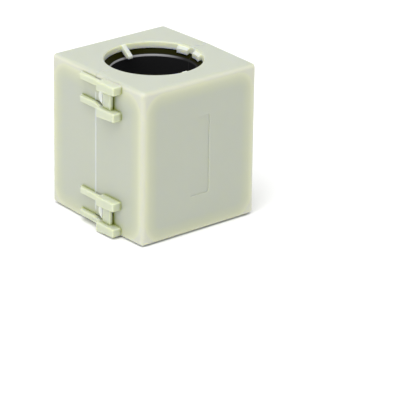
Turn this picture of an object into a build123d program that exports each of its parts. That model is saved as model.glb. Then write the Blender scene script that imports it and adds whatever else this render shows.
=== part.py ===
from build123d import *
import math
import os

os.makedirs("parts", exist_ok=True)

# Clip-on ferrite clamp for a round cable. The cable runs along Z through the centre.
# The case splits on the plane Y = 0 into a front half (Y below 0) and a back half.
# The latches are on the -X face and the hinge is on the +X face. Sizes are millimetres.

# Case halves, measured at the seam where they are widest
case_width = 40.5
case_height = 45.5
half_depth = 20.6
draft_angle = 0.75
outer_round = 1.25
side_wall = 2.0
end_wall = 2.2
face_wall = 1.7
seam_gap = 0.05
seam_chamfer = 0.12
opening_radius = 13.9
opening_round = 0.45

# Ferrite core halves
core_clearance = 0.2
bore_radius = 12.5
bore_chamfer = 1.2
bore_edge_round = 0.4
core_chamfer = 1.0
core_gap = 0.04

# Shallow label recess in the front face
label_width = 6.8
label_height = 23.4
label_depth = 0.2
label_corner = 0.8

# Cable fingers and centring tabs inside the upper opening
finger_width = 1.45
finger_thickness = 1.3
finger_tip_radius = 10.3
finger_tip_clearance = 0.15
finger_top_drop = 0.25
finger_root = 0.4
tab_start_angle = 5.0
tab_sweep_angle = 16.5
tab_proud = 1.0
tab_root = 0.4
tab_top_drop = 1.25
tab_rise = 0.9
tab_height = 1.35

# Latches on the -X face, one above the other
latch_pitch = 34.0
latch_shift = -0.25
lug_spacing = 7.65
lug_thickness = 2.9
lug_taper = 0.5
lug_length = 7.75
lug_proud = 2.75
lug_from_seam = 3.6
lug_round = 0.35
bar_proud = 1.4
bar_thickness = 0.9
bar_width = 3.4
bar_from_seam = 4.9
bar_round = 0.25
lip_proud = 1.05
lip_reach = 1.7
lip_from_seam = 4.2
lip_half_height = 2.05
lip_rise = 0.35
groove_proud = 0.8

# Guide ribs on the back half, on both sides of each latch tongue
rib_thickness = 1.75
upper_rib_offset = 3.75
lower_rib_offset = -2.9
rib_proud = 1.4
rib_round = 0.3
rib_length = 6.3
rib_ramp = 1.1
rib_end_gap = 0.3
rib_lift = 0.3
rib_taper_length = 2.2
rib_taper_cut = 0.6

# Flexible latch tongue of the back half and its pocket in the front half
tongue_width = 4.0
tongue_thickness = 0.95
tongue_tip_thickness = 0.5
tongue_reach = 6.8
tongue_shoulder = 1.2
tongue_clearance = 0.3
pocket_reach = 7.4

# Hook and bar hinge on the +X face
hinge_offset = 2.4
hinge_bar_radius = 1.2
hinge_running_gap = 0.05
hinge_outer_radius = 2.2
hinge_spacing = 19.0
hook_width = 5.4
hook_side_gap = 0.3
hinge_lug_thickness = 1.8
hook_mouth_start = 105
hook_mouth_angle = 65
hinge_root_length = 4.2

# How far a cutter runs past the solid that it cuts
overshoot = 1.0

# Places worked out from the sizes above
half_width = case_width / 2
half_height = case_height / 2
seam_y = seam_gap / 2
cavity_half_width = half_width - side_wall
cavity_half_height = half_height - end_wall
cavity_depth = half_depth - face_wall
core_half_width = cavity_half_width - core_clearance
core_half_height = cavity_half_height - core_clearance
core_depth = cavity_depth - core_clearance
bore_end = core_half_height - bore_chamfer
latch_centres = [latch_shift + latch_pitch / 2, latch_shift - latch_pitch / 2]
lug_gap = lug_spacing - lug_thickness
hinge_x = half_width + hinge_offset
hinge_centres = [hinge_spacing / 2, -hinge_spacing / 2]
hinge_diagonal = hinge_outer_radius * math.sin(math.radians(45))
draft_slope = math.tan(math.radians(draft_angle))
far_half_width = half_width - half_depth * draft_slope
far_half_height = half_height - half_depth * draft_slope
rim_drop = opening_radius * draft_slope / 2


def block(low_x, high_x, low_y, high_y, low_z, high_z):
    # A box given by its two corners
    centre = ((low_x + high_x) / 2, (low_y + high_y) / 2, (low_z + high_z) / 2)
    return Pos(*centre) * Box(high_x - low_x, high_y - low_y, high_z - low_z)


def prism_along_z(points, low_z, high_z):
    # An outline in X and Y, carried from one height to another
    outline = Plane.XY.offset(low_z) * make_face(Polyline(*points, close=True))
    return extrude(outline, high_z - low_z)


def prism_along_x(points, low_x, high_x):
    # An outline in Y and Z, carried from one X to another
    outline = Plane.YZ.offset(low_x) * make_face(Polyline(*points, close=True))
    return extrude(outline, high_x - low_x)


def plain_half():
    # One drafted, rounded and hollowed half, on the -Y side of the seam
    plan = [
        (-half_width, -seam_y),
        (half_width, -seam_y),
        (far_half_width, -half_depth),
        (-far_half_width, -half_depth),
    ]
    profile = [
        (-seam_y, -half_height),
        (-seam_y, half_height),
        (-half_depth, far_half_height),
        (-half_depth, -far_half_height),
    ]
    shell = prism_along_z(plan, -half_height, half_height) & prism_along_x(profile, -half_width, half_width)
    seam_edges = shell.faces().sort_by(Axis.Y)[-1].edges()
    shell = fillet([edge for edge in shell.edges() if edge not in seam_edges], outer_round)
    shell = chamfer(shell.faces().sort_by(Axis.Y)[-1].edges(), seam_chamfer)
    shell -= block(-cavity_half_width, cavity_half_width, -cavity_depth, 0,
                   -cavity_half_height, cavity_half_height)
    shell -= Cylinder(opening_radius, case_height + 2 * overshoot)
    for side in (-1, 1):
        shell -= rounded_mouth(side)
    return shell


def rounded_mouth(side):
    # The cutter that rounds the rim of the opening in one end wall
    low = half_height - rim_drop - opening_round
    high = half_height - rim_drop
    outer = opening_radius + opening_round
    middle = opening_round * (1 - math.sin(math.radians(45)))
    rim = ThreePointArc((opening_radius, low), (opening_radius + middle, high - middle), (outer, high))
    past = high + overshoot
    rest = Polyline((outer, high), (outer, past), (0, past), (0, low), (opening_radius, low))
    cutter = revolve(Plane.XZ * make_face([rim, rest]), Axis.Z)
    return Rot(0 if side > 0 else 180, 0, 0) * cutter


def flared_mouth(radius, flare, end_z, side):
    # The cutter for a 45 degree flare where a round hole meets an end face
    cutter = Cone(radius, radius + 2 * flare, 2 * flare)
    upright = Rot(0 if side > 0 else 180, 0, 0)
    return Pos(0, 0, side * end_z) * upright * cutter


def cable_finger():
    # A slanting finger in the middle of the half, from the rim to just above the bore wall
    top = half_height - finger_top_drop
    tip = bore_end + finger_tip_clearance
    root_y = -opening_radius - finger_root
    points = [
        (root_y - opening_round, top),
        (-opening_radius + finger_root, top),
        (-finger_tip_radius, tip + finger_thickness / 2),
        (-finger_tip_radius, tip),
        (-finger_tip_radius - finger_thickness, tip),
        (root_y, top - finger_thickness),
        (root_y - opening_round, top - finger_thickness),
    ]
    return prism_along_x(points, -finger_width / 2, finger_width / 2)


def centring_tab():
    # A small curved block beside the seam on +X, with a sloping top, on the wall of the opening
    inner = opening_radius - tab_proud
    outer = opening_radius + tab_root
    high = half_height - tab_top_drop
    points = [
        (inner, high - tab_height),
        (inner, high),
        (outer, high + tab_rise),
        (outer, cavity_half_height + tab_root),
        (opening_radius, cavity_half_height),
    ]
    tab = revolve(Plane.XZ * make_face(Polyline(*points, close=True)), Axis.Z, tab_sweep_angle)
    return Rot(0, 0, -tab_start_angle - tab_sweep_angle) * tab


def with_upper_details(shell):
    # Adds the fingers and tabs to a half on the -Y side
    tab = centring_tab()
    return shell + cable_finger() + tab + tab.mirror(Plane.YZ)


def latch_lug(centre_z):
    # One of the two lugs that carry a latch bar, thinner at its far end
    far_y = -lug_from_seam - lug_length
    low_z = centre_z - lug_thickness / 2
    high_z = centre_z + lug_thickness / 2
    points = [
        (-lug_from_seam, low_z),
        (-lug_from_seam, high_z),
        (far_y, high_z),
        (far_y, low_z + lug_taper),
    ]
    lug = prism_along_x(points, -half_width - lug_proud, -half_width + side_wall / 2)
    outer_edges = [edge for edge in lug.edges() if edge.center().X < -half_width]
    return fillet(outer_edges, lug_round)


def latch_bar(centre_z):
    # The bar between two lugs, with a curved lip and a groove on its seam side
    inner_x = -half_width - bar_proud + bar_thickness
    reach_z = lug_gap / 2 + lug_taper + lug_round
    bar = block(-half_width - bar_proud, inner_x, -bar_from_seam - bar_width, -bar_from_seam,
                centre_z - reach_z, centre_z + reach_z)
    long_edges = bar.edges().filter_by(Axis.Z).group_by(Axis.X)[0]
    bar = fillet(long_edges, bar_round)
    bar += block(-half_width - groove_proud, inner_x, -bar_from_seam - bar_round, -lip_from_seam,
                 centre_z - reach_z, centre_z + reach_z)
    return bar + curved_lip(centre_z, inner_x)


def curved_lip(centre_z, inner_x):
    # The raised lip whose edge bows towards the seam
    middle = centre_z + lip_rise
    low = (-lip_from_seam, middle - lip_half_height)
    high = (-lip_from_seam, middle + lip_half_height)
    arc = ThreePointArc(low, (-lip_from_seam + lip_reach, middle), high)
    chord = Line(high, low)
    outline = Plane.YZ.offset(-half_width - lip_proud) * make_face([arc, chord])
    lip = extrude(outline, inner_x + half_width + lip_proud)
    outer_rim = lip.faces().sort_by(Axis.X)[0].edges()
    return fillet(outer_rim.filter_by(GeomType.CIRCLE), bar_round)


def tongue_pocket(centre_z):
    # The recess in the front wall that takes the tongue
    half_span = tongue_width / 2 + tongue_clearance
    floor_x = -half_width + tongue_thickness + tongue_clearance
    return block(-half_width - overshoot, floor_x, -pocket_reach, seam_y,
                 centre_z - half_span, centre_z + half_span)


def latch_tongue(centre_z):
    # The flexible tongue that reaches under the bar, drawn without its catching ridge
    inner_x = -half_width + tongue_thickness
    root_y = seam_y + tongue_clearance
    points = [
        (inner_x, root_y),
        (-half_width, root_y),
        (-half_width, -tongue_shoulder),
        (inner_x - tongue_tip_thickness, -tongue_reach),
        (inner_x, -tongue_reach),
    ]
    return prism_along_z(points, centre_z - tongue_width / 2, centre_z + tongue_width / 2)


def guide_rib(centre_z, offset):
    # A rib with a ramp at its far end, standing over the seam and stopping short of the lug
    outer_x = -half_width - rib_proud
    lifted_x = -half_width - rib_lift
    end_y = -lug_from_seam + rib_end_gap
    start_x = -half_width + side_wall / 2
    points = [
        (start_x, rib_length),
        (-half_width, rib_length),
        (outer_x, rib_length - rib_ramp),
        (outer_x, end_y),
        (lifted_x, end_y),
        (lifted_x, seam_y),
        (start_x, seam_y),
    ]
    low_z = centre_z + offset - rib_thickness / 2
    high_z = low_z + rib_thickness
    rib = prism_along_z(points, low_z, high_z)
    top_face = rib.faces().sort_by(Axis.X)[0]
    rib = fillet(top_face.edges().filter_by(Axis.Y), rib_round)
    return rib - rib_corner(end_y, low_z if offset > 0 else high_z, 1 if offset > 0 else -1)


def rib_corner(end_y, inner_z, inward):
    # The wedge cut from the end of a rib, on the side of the latch bar
    past_y = end_y - overshoot
    cut_z = inner_z + inward * rib_taper_cut
    corner = [(past_y, inner_z), (end_y + rib_taper_length, inner_z), (end_y, cut_z), (past_y, cut_z)]
    return prism_along_x(corner, -half_width - rib_proud - overshoot, -half_width + side_wall / 2)


def hinge_lugs(centre_z):
    # Two rounded ears of the back half with the hinge bar between them
    half_span = hook_width / 2 + hook_side_gap
    bar = Pos(hinge_x, 0, centre_z) * Cylinder(hinge_bar_radius, 2 * half_span + hinge_lug_thickness)
    ears = bar
    for side in (-1, 1):
        inner_z = centre_z + side * half_span
        outer_z = inner_z + side * hinge_lug_thickness
        ears += hinge_ear(min(inner_z, outer_z), max(inner_z, outer_z))
    return ears


def hinge_ear(low_z, high_z):
    # One ear: a disc about the hinge axis joined to the wall of the back half
    disc = Pos(hinge_x, 0, (low_z + high_z) / 2) * Cylinder(hinge_outer_radius, high_z - low_z)
    root_x = half_width - side_wall / 2
    points = [
        (root_x, seam_y + seam_chamfer),
        (hinge_x, seam_y),
        (hinge_x + hinge_diagonal, hinge_diagonal),
        (half_width, hinge_root_length),
        (root_x, hinge_root_length),
    ]
    return disc + prism_along_z(points, low_z, high_z)


def hinge_hook(centre_z):
    # The open hook of the front half that turns on the bar
    low_z = centre_z - hook_width / 2
    high_z = centre_z + hook_width / 2
    inner_radius = hinge_bar_radius + hinge_running_gap
    middle = Pos(hinge_x, 0, centre_z)
    root_x = half_width - side_wall / 2
    web = [
        (root_x, -seam_y - seam_chamfer),
        (hinge_x, -seam_y),
        (hinge_x + hinge_diagonal, -hinge_diagonal),
        (half_width, -hinge_root_length),
        (root_x, -hinge_root_length),
    ]
    hook = middle * Cylinder(hinge_outer_radius, hook_width) + prism_along_z(web, low_z, high_z)
    hook -= middle * Cylinder(inner_radius, hook_width + overshoot)
    return hook - hook_mouth(low_z, high_z)


def hook_mouth(low_z, high_z):
    # The wedge left out of the hook so that it snaps over the bar
    reach = 2 * hinge_outer_radius
    start = math.radians(hook_mouth_start)
    end = math.radians(hook_mouth_start + hook_mouth_angle)
    points = [
        (hinge_x, 0),
        (hinge_x + reach * math.cos(start), reach * math.sin(start)),
        (hinge_x + reach * math.cos(end), reach * math.sin(end)),
    ]
    return prism_along_z(points, low_z - overshoot, high_z + overshoot)


def label_recess():
    # A shallow upright recess in the middle of the front face
    floor = Plane.XZ.offset(half_depth - label_depth)
    outline = floor * RectangleRounded(label_width, label_height, label_corner)
    return extrude(outline, label_depth + overshoot)


def front_case():
    # Front half: label recess, latch lugs and bars, tongue pockets and hinge hooks
    case = with_upper_details(plain_half())
    case -= label_recess()
    for centre_z in latch_centres:
        case -= tongue_pocket(centre_z)
        for side in (-1, 1):
            case += latch_lug(centre_z + side * lug_spacing / 2)
        case += latch_bar(centre_z)
    for centre_z in hinge_centres:
        case += hinge_hook(centre_z)
    return case


def back_case():
    # Back half: guide ribs, latch tongues and hinge ears
    case = with_upper_details(plain_half()).mirror(Plane.XZ)
    for centre_z in latch_centres:
        for offset in (upper_rib_offset, lower_rib_offset):
            case += guide_rib(centre_z, offset)
        case += latch_tongue(centre_z)
    for centre_z in hinge_centres:
        case += hinge_lugs(centre_z)
    return case


def core_half():
    # Half of the ferrite block, on the -Y side, with the cable bore and its chamfers
    core = block(-core_half_width, core_half_width, -core_depth, -core_gap / 2,
                 -core_half_height, core_half_height)
    split_edges = core.faces().sort_by(Axis.Y)[-1].edges()
    core = chamfer([edge for edge in core.edges() if edge not in split_edges], core_chamfer)
    core -= Cylinder(bore_radius, case_height)
    for side in (-1, 1):
        core -= flared_mouth(bore_radius, bore_chamfer, core_half_height, side)
    rims = core.edges().filter_by(GeomType.CIRCLE)
    inner_rims = [edge for edge in rims if edge.radius < bore_radius + bore_chamfer / 2]
    return fillet(inner_rims, bore_edge_round)


front_core = core_half()
export_step(front_case(), "parts/front_case.step")
export_step(back_case(), "parts/back_case.step")
export_step(front_core, "parts/front_core.step")
export_step(front_core.mirror(Plane.XZ), "parts/back_core.step")
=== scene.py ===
import bpy
import math
from mathutils import Matrix, Vector


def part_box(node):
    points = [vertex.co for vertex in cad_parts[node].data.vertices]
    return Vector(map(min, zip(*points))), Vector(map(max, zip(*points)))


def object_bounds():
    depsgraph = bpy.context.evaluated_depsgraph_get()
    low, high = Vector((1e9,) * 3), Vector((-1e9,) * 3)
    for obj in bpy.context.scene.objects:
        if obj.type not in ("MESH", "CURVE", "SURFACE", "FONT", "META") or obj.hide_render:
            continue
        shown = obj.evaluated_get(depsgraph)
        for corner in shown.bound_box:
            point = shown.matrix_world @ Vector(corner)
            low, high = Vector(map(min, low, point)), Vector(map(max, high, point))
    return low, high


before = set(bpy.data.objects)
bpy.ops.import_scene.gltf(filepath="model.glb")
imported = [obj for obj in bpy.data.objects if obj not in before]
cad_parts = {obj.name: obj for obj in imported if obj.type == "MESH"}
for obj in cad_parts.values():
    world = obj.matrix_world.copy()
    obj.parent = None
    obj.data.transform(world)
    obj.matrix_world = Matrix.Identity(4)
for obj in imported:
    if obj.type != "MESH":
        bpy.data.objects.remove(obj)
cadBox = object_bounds()
mm = 0.001


def viewDirection(azimuth, elevation):
    # unit vector from the clamp towards a viewer at these angles
    az = math.radians(azimuth)
    el = math.radians(elevation)
    return Vector((math.sin(az) * math.cos(el), -math.cos(az) * math.cos(el), math.sin(el)))


def lookMatrix(place, back, roll):
    # a camera or lamp at place whose own Z points along back
    right = Vector((0, 0, 1)).cross(back).normalized()
    up = back.cross(right)
    turned = Matrix((right, up, back)).transposed() @ Matrix.Rotation(roll, 3, "Z")
    return Matrix.Translation(place) @ turned.to_4x4()


# the photograph's viewing angle
cameraView = {
    "azimuth": -38.63,              # degrees, 0 looks along +Y
    "elevation": 21.5,
    "roll": 0.5,
    "distance": 738.8 * mm,         # from the middle of the cable bore
    "frameSide": 420,               # the picture's side, in pixels
    "focalPixels": 2631,
    "aimPixel": (153.1, 133.4),     # where the middle of the bore falls in the picture
    "sensor": 36.0,
    "clip": (0.05, 20),
}


def addCamera(view):
    data = bpy.data.cameras.new("camera")
    data.sensor_fit = "HORIZONTAL"
    data.sensor_width = view["sensor"]
    data.lens = view["sensor"] * view["focalPixels"] / view["frameSide"]
    half = view["frameSide"] / 2
    data.shift_x = (half - view["aimPixel"][0]) / view["frameSide"]
    data.shift_y = (view["aimPixel"][1] - half) / view["frameSide"]
    data.clip_start, data.clip_end = view["clip"]
    camera = bpy.data.objects.new("camera", data)
    bpy.context.scene.collection.objects.link(camera)
    back = viewDirection(view["azimuth"], view["elevation"])
    camera.matrix_world = lookMatrix(back * view["distance"], back, math.radians(view["roll"]))
    bpy.context.scene.camera = camera


# white surroundings with a large soft lamp above and a small one on the latch side
skyLook = {"color": (1.0, 1.0, 1.0, 1), "strength": 0.72}

studioLights = {
    # name: azimuth, elevation, distance, side, power in watts
    "topSoftbox": (-60, 72, 1.4, 1.2, 14.6),
    "leftSoftbox": (-70, 33, 1.2, 0.6, 2.7),
    "frontFill": (10, 20, 1.2, 0.8, 0.15),
}


def addSky(look):
    world = bpy.data.worlds.new("paleStudio")
    world.use_nodes = True
    background = world.node_tree.nodes["Background"]
    background.inputs["Color"].default_value = look["color"]
    background.inputs["Strength"].default_value = look["strength"]
    bpy.context.scene.world = world


def addLight(name, azimuth, elevation, distance, side, power):
    data = bpy.data.lights.new(name, "AREA")
    data.shape = "SQUARE"
    data.size = side
    data.energy = power
    lamp = bpy.data.objects.new(name, data)
    bpy.context.scene.collection.objects.link(lamp)
    back = viewDirection(azimuth, elevation)
    lamp.matrix_world = lookMatrix(back * distance, back, 0)


def newMaterial(name):
    material = bpy.data.materials.new(name)
    material.use_nodes = True
    tree = material.node_tree
    tree.nodes.clear()
    shader = tree.nodes.new("ShaderNodeBsdfPrincipled")
    output = tree.nodes.new("ShaderNodeOutputMaterial")
    tree.links.new(shader.outputs["BSDF"], output.inputs["Surface"])
    return material, tree, shader


def restPlace(tree):
    # where the point lies on the closed clamp, which moves along with each half
    return tree.nodes.new("ShaderNodeTexCoord").outputs["Object"]


def vectorMath(tree, operation, first, second=None):
    node = tree.nodes.new("ShaderNodeVectorMath")
    node.operation = operation
    tree.links.new(first, node.inputs[0])
    if second is not None:
        node.inputs[1].default_value = second
    return node.outputs["Value" if operation == "LENGTH" else "Vector"]


def numberMath(tree, operation, first, second=0):
    node = tree.nodes.new("ShaderNodeMath")
    node.operation = operation
    for socket, value in zip(node.inputs, (first, second)):
        if isinstance(value, (int, float)):
            socket.default_value = value
        else:
            tree.links.new(value, socket)
    return node.outputs["Value"]


def axisPart(tree, vector, axis):
    parts = tree.nodes.new("ShaderNodeSeparateXYZ")
    tree.links.new(vector, parts.inputs["Vector"])
    return parts.outputs[axis]


def ramp(tree, value, low, high, down=False):
    # a smooth step from 0 at low to 1 at high, or from 1 to 0 where down is set
    step = tree.nodes.new("ShaderNodeMapRange")
    step.interpolation_type = "SMOOTHSTEP"
    step.inputs["From Min"].default_value = low
    step.inputs["From Max"].default_value = high
    step.inputs["To Min"].default_value = 1 if down else 0
    step.inputs["To Max"].default_value = 0 if down else 1
    tree.links.new(value, step.inputs["Value"])
    return step.outputs["Result"]


def mixColors(tree, factor, first, second):
    mix = tree.nodes.new("ShaderNodeMix")
    mix.data_type = "RGBA"
    tree.links.new(factor, mix.inputs["Factor"])
    for name, value in (("A", first), ("B", second)):
        target = [s for s in mix.inputs if s.name == name and s.type == "RGBA"][0]
        if isinstance(value, tuple):
            target.default_value = value
        else:
            tree.links.new(value, target)
    return [s for s in mix.outputs if s.type == "RGBA"][0]


def noiseTexture(tree, position, size, detail):
    noise = tree.nodes.new("ShaderNodeTexNoise")
    noise.inputs["Scale"].default_value = 1 / size
    noise.inputs["Detail"].default_value = detail
    tree.links.new(position, noise.inputs["Vector"])
    return noise.outputs["Fac"]


def bump(tree, height, distance, previous=None):
    node = tree.nodes.new("ShaderNodeBump")
    node.inputs["Distance"].default_value = distance
    tree.links.new(height, node.inputs["Height"])
    if previous:
        tree.links.new(previous, node.inputs["Normal"])
    return node.outputs["Normal"]


def distanceFromAxis(tree, place):
    return vectorMath(tree, "LENGTH", vectorMath(tree, "MULTIPLY", place, (1, 1, 0)))


floorLook = {"size": 3.0, "color": (0.93, 0.93, 0.93, 1), "roughness": 0.9}


def addFloor(look):
    height = cadBox[0][2]
    half = look["size"] / 2
    corners = [(x * half, y * half, height) for x, y in ((-1, -1), (1, -1), (1, 1), (-1, 1))]
    mesh = bpy.data.meshes.new("floor")
    mesh.from_pydata(corners, [], [(0, 1, 2, 3)])
    floor = bpy.data.objects.new("floor", mesh)
    bpy.context.scene.collection.objects.link(floor)
    material, tree, shader = newMaterial("paleFloor")
    shader.inputs["Base Color"].default_value = look["color"]
    shader.inputs["Roughness"].default_value = look["roughness"]
    mesh.materials.append(material)


# the case halves are natural nylon, greyer where the dark core shows through its wall; the light and
# shade on its edges, end walls, grooves, seam, lips and opening are painted into its colour
nylonLook = {
    # colour of the wall at each distance from the dark core behind it: greyer near the core, with
    # painted glow and a painted highlight towards the outer edges
    "coreShadow": (
        (2.10 * mm, (0.438, 0.463, 0.386, 1)),
        (2.45 * mm, (0.455, 0.482, 0.373, 1)),
        (3.15 * mm, (0.498, 0.518, 0.385, 1)),
        (3.90 * mm, (0.572, 0.590, 0.435, 1)),
        (4.25 * mm, (0.550, 0.560, 0.475, 1)),
    ),
    "coreRounding": 5.0 * mm,                   # how softly the shadow fades at the core's corners
    "lowEnd": 0.95,                             # the painted glow is narrower along the lower edges
    "endWall": (0.468, 0.495, 0.418, 1),        # the end walls are thicker and get no painted glow; their lighter tone is partly painted light from above
    "endWallRange": (21.9 * mm, 22.5 * mm),     # up and down from the middle
    "proud": (0.525, 0.560, 0.435, 1),          # the latch and the hinge, outside the walls
    "proudRange": (20.45 * mm, 21.0 * mm),      # out to each side of the bore's axis
    "lip": (0.69, 0.72, 0.63, 1),               # the thin curved lips beside the latch bars, painted light as a highlight along their edge
    "lipMiddle": (21.18 * mm, 3.4 * mm),        # outward and from the seam
    "lipHalfSize": (0.18 * mm, 1.05 * mm),
    "lipFade": 0.05 * mm,
    "openingRadius": 13.9 * mm,
    "opening": (0.74, 0.77, 0.63, 1),           # the wall of the opening, painted lighter as the bright highlight of its rim
    "openingRange": (0.01 * mm, 0.12 * mm),     # past the wall of the opening
    "fingers": (0.63, 0.66, 0.58, 1),           # the fingers and tabs that stand out from it
    "fingersRange": (13.5 * mm, 13.8 * mm),     # from the bore's axis
    "seam": (0.58, 0.62, 0.57, 1),              # the fine line where the halves meet, a painted highlight on its bevelled edge
    "seamRange": (0.15 * mm, 0.45 * mm),        # from the plane of the seam
    "wallRange": (2.3 * mm, 2.5 * mm),          # the seam's painted highlight stays on the plain wall
    "crevice": (0.34, 0.39, 0.08, 1),           # painted shade in the grooves of the latch, darker and yellower
    "creviceReach": 1.6 * mm,
    "creviceRange": (0.3, 0.88),                # share of open space around the point
    "creviceRays": 8,
    "plainFace": (19.0 * mm, 19.8 * mm),        # front and back faces get no painted crevice shade
    "roughness": 0.42,
    "subsurface": 1.0,
    "scatter": (1.0, 0.95, 0.5),
    "scatterScale": 2.0 * mm,
    "ior": 1.53,
    "grainSize": 0.35 * mm,
    "grainHeight": 0.006 * mm,
    "grainDetail": 2,
    "waveSize": 14 * mm,                        # the slight unevenness of a moulded wall
    "waveHeight": 0.05 * mm,
    "waveDetail": 1,
}


def distanceFromCore(tree, place, rounding, lowEnd):
    # how far the point is from the rounded block of the core, which is centred on the origin
    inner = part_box("back_core")[1] - Vector((rounding, rounding, rounding))
    mirrored = tree.nodes.new("ShaderNodeVectorMath")
    mirrored.operation = "MAXIMUM"
    tree.links.new(place, mirrored.inputs[0])
    tree.links.new(vectorMath(tree, "MULTIPLY", place, (-1, -1, -lowEnd)), mirrored.inputs[1])
    outside = vectorMath(tree, "SUBTRACT", mirrored.outputs["Vector"], inner)
    outside = vectorMath(tree, "LENGTH", vectorMath(tree, "MAXIMUM", outside, (0, 0, 0)))
    return numberMath(tree, "SUBTRACT", outside, rounding)


def coreShadow(tree, depth, stops):
    # the wall's colour, read off the stops at the point's distance from the core, painted glow and
    # highlight included
    first, last = stops[0][0], stops[-1][0]
    reading = tree.nodes.new("ShaderNodeMapRange")
    reading.inputs["From Min"].default_value = first
    reading.inputs["From Max"].default_value = last
    tree.links.new(depth, reading.inputs["Value"])
    band = tree.nodes.new("ShaderNodeValToRGB")
    tree.links.new(reading.outputs["Result"], band.inputs["Fac"])
    elements = band.color_ramp.elements
    while len(elements) < len(stops):
        elements.new(0.5)   # each one is moved to its own stop below
    for element, (distance, color) in zip(elements, stops):
        element.position = (distance - first) / (last - first)
        element.color = color
    return band.outputs["Color"]


def openShade(tree, look, fromSeam):
    # 1 on open surfaces, 0 deep in a crevice
    shade = tree.nodes.new("ShaderNodeAmbientOcclusion")
    shade.inputs["Distance"].default_value = look["creviceReach"]
    shade.samples = look["creviceRays"]
    shade.only_local = True
    openness = ramp(tree, shade.outputs["AO"], *look["creviceRange"])
    return numberMath(tree, "MAXIMUM", openness, ramp(tree, fromSeam, *look["plainFace"]))


def onLip(tree, place, look):
    # 1 on the lips of the front half, where their painted highlight goes, 0 elsewhere
    turned = vectorMath(tree, "MULTIPLY", place, (-1, -1, 0))
    shifted = vectorMath(tree, "SUBTRACT", turned, (*look["lipMiddle"], 0))
    away = vectorMath(tree, "ABSOLUTE", shifted)
    masks = [ramp(tree, axisPart(tree, away, axis), half, half + look["lipFade"], down=True)
             for axis, half in zip("XY", look["lipHalfSize"])]
    return numberMath(tree, "MULTIPLY", *masks)


def nylonColor(tree, place, look):
    depth = distanceFromCore(tree, place, look["coreRounding"], look["lowEnd"])
    sides = vectorMath(tree, "ABSOLUTE", place)
    fromSeam = axisPart(tree, sides, "Y")
    fromAxis = distanceFromAxis(tree, place)
    fromWall = numberMath(tree, "SUBTRACT", fromAxis, look["openingRadius"])
    # painted glow and edge highlight, over the grey where the core shows through
    color = coreShadow(tree, depth, look["coreShadow"])
    # top and bottom end walls: a lighter tone, partly painted light from above, in place of the
    # painted glow
    onEnd = ramp(tree, axisPart(tree, sides, "Z"), *look["endWallRange"])
    color = mixColors(tree, onEnd, color, look["endWall"])
    standsOut = ramp(tree, axisPart(tree, sides, "X"), *look["proudRange"])
    color = mixColors(tree, standsOut, color, look["proud"])
    # painted shade: darker and yellower deep in the latch's grooves
    color = mixColors(tree, openShade(tree, look, fromSeam), look["crevice"], color)
    # painted highlight along the seam on the plain wall
    onSeam = ramp(tree, fromSeam, *look["seamRange"], down=True)
    onSeam = numberMath(tree, "MULTIPLY", onSeam, ramp(tree, depth, *look["wallRange"], down=True))
    color = mixColors(tree, onSeam, color, look["seam"])
    # painted highlight on the latch lips
    color = mixColors(tree, onLip(tree, place, look), color, look["lip"])
    # the opening's wall is painted lighter as its rim highlight; the fingers keep their own tone
    offFingers = ramp(tree, fromAxis, *look["fingersRange"])
    opening = mixColors(tree, offFingers, look["fingers"], look["opening"])
    return mixColors(tree, ramp(tree, fromWall, *look["openingRange"], down=True), color, opening)


def makeNylon(look):
    material, tree, shader = newMaterial("naturalNylon")
    place = restPlace(tree)
    tree.links.new(nylonColor(tree, place, look), shader.inputs["Base Color"])
    shader.inputs["Roughness"].default_value = look["roughness"]
    shader.inputs["IOR"].default_value = look["ior"]
    shader.inputs["Subsurface Weight"].default_value = look["subsurface"]
    shader.inputs["Subsurface Radius"].default_value = look["scatter"]
    shader.inputs["Subsurface Scale"].default_value = look["scatterScale"]
    wave = noiseTexture(tree, place, look["waveSize"], look["waveDetail"])
    grain = noiseTexture(tree, place, look["grainSize"], look["grainDetail"])
    normal = bump(tree, wave, look["waveHeight"])
    normal = bump(tree, grain, look["grainHeight"], normal)
    tree.links.new(normal, shader.inputs["Normal"])
    return material


# the core halves are fired ferrite, ground on the mating faces, with a painted highlight along the
# ends of the bore
ferriteLook = {
    "fired": (0.010, 0.010, 0.0105, 1),
    "speckle": (0.018, 0.018, 0.019, 1),
    "flare": (0.010, 0.010, 0.000, 1),          # the sloping mouth of the bore, tinted yellow as painted light bounced from the nylon
    "flareFrom": (12.6 * mm, 12.8 * mm),        # from the bore's axis
    "ground": (0.04, 0.04, 0.04, 1),            # a painted highlight along the edge of the bore
    "groundBright": (0.48, 0.48, 0.49, 1),      # the same painted highlight, brightest towards +Y
    "brightFrom": (1.0 * mm, 10.0 * mm),        # along +Y
    "edgeRadius": 12.5 * mm,
    "edgeHeight": 18.9 * mm,
    "edgeReach": (0.15 * mm, 0.42 * mm),
    "mating": (0.05, 0.05, 0.052, 1),           # the faces that meet in the seam
    "matingReach": (0.03 * mm, 0.08 * mm),
    "roughness": 0.38,
    "specular": 0.02,
    "grainSize": 0.25 * mm,
    "grainHeight": 0.01 * mm,
    "grainDetail": 3,
}


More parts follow.
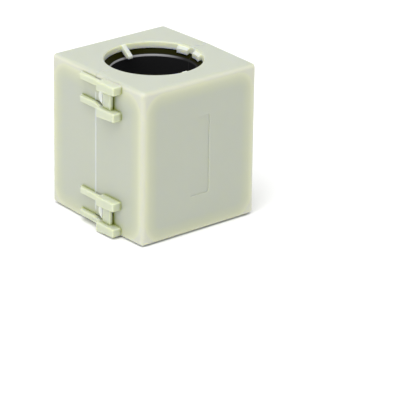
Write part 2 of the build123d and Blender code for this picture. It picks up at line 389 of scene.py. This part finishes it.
def distanceFromBoreEdge(tree, place, look):
    # how far the point is from the circle where the bore meets its sloping mouth
    outward = numberMath(tree, "SUBTRACT", distanceFromAxis(tree, place), look["edgeRadius"])
    height = axisPart(tree, vectorMath(tree, "ABSOLUTE", place), "Z")
    upward = numberMath(tree, "SUBTRACT", height, look["edgeHeight"])
    squares = [numberMath(tree, "MULTIPLY", side, side) for side in (outward, upward)]
    return numberMath(tree, "SQRT", numberMath(tree, "ADD", *squares))


def ferriteColor(tree, place, grain, look):
    fromSeam = axisPart(tree, vectorMath(tree, "ABSOLUTE", place), "Y")
    color = mixColors(tree, grain, look["fired"], look["speckle"])
    # painted bounce light from the nylon: a yellow tint on the bore's sloping mouth
    flare = ramp(tree, distanceFromAxis(tree, place), *look["flareFrom"])
    color = mixColors(tree, flare, color, look["flare"])
    mating = ramp(tree, fromSeam, *look["matingReach"], down=True)
    color = mixColors(tree, mating, color, look["mating"])
    # painted highlight on the edge of the bore, brightest towards +Y
    edge = ramp(tree, distanceFromBoreEdge(tree, place, look), *look["edgeReach"], down=True)
    bright = ramp(tree, axisPart(tree, place, "Y"), *look["brightFrom"])
    return mixColors(tree, edge, color, mixColors(tree, bright, look["ground"], look["groundBright"]))


def makeFerrite(look):
    material, tree, shader = newMaterial("firedFerrite")
    place = restPlace(tree)
    grain = noiseTexture(tree, place, look["grainSize"], look["grainDetail"])
    tree.links.new(ferriteColor(tree, place, grain, look), shader.inputs["Base Color"])
    shader.inputs["Roughness"].default_value = look["roughness"]
    shader.inputs["Specular IOR Level"].default_value = look["specular"]
    tree.links.new(bump(tree, grain, look["grainHeight"]), shader.inputs["Normal"])
    return material


def dressNode(name, material):
    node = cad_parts[name]
    node.data.materials.clear()
    node.data.materials.append(material)


bpy.context.scene.view_settings.view_transform = "Standard"
addSky(skyLook)
for lightName, numbers in studioLights.items():
    addLight(lightName, *numbers)
addFloor(floorLook)
addCamera(cameraView)
print("stage, lights and camera are in place")

nylon = makeNylon(nylonLook)
for nodeName in ("front_case", "back_case"):
    dressNode(nodeName, nylon)
print("case halves are finished")

ferrite = makeFerrite(ferriteLook)
for nodeName in ("front_core", "back_core"):
    dressNode(nodeName, ferrite)
print("core halves are finished")
